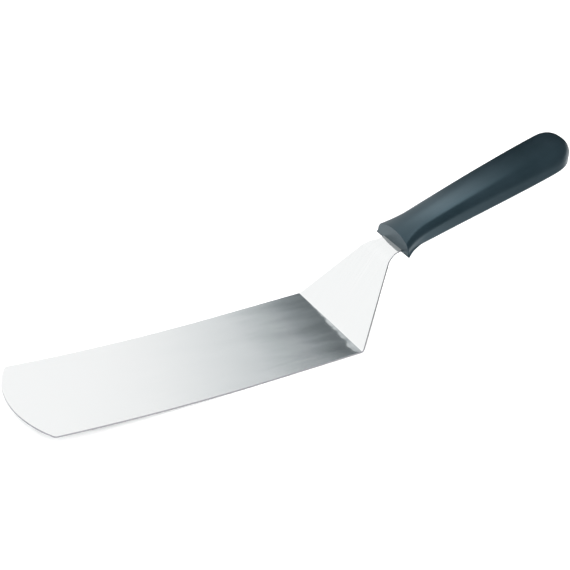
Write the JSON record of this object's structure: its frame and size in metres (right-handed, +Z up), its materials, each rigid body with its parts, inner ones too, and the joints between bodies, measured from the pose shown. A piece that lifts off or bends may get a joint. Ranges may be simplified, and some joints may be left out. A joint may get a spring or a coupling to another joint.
{
  "type": "offset spatula",
  "caption": "Offset spatula with a wide bowed steel blade, a steep neck that lifts the hand clear, and a moulded plastic handle on its tang.",
  "frame": {"origin": "centre of the flat stretch of the blade's underside, which the spatula rests on", "axes": "+X along the spatula from the blade's tip towards the handle, +Y across the blade, +Z up out of the blade's top face"},
  "size_m": [0.3872, 0.075, 0.0958],
  "materials": {
    "steel_sheet": "rolled stainless sheet with a fine lengthwise grain",
    "handle_plastic": "satin moulded polypropylene, dark slate blue"
  },
  "bodies": {
    "root": {"blade": "steel_sheet", "handle": "handle_plastic"}
  },
  "joints": []
}
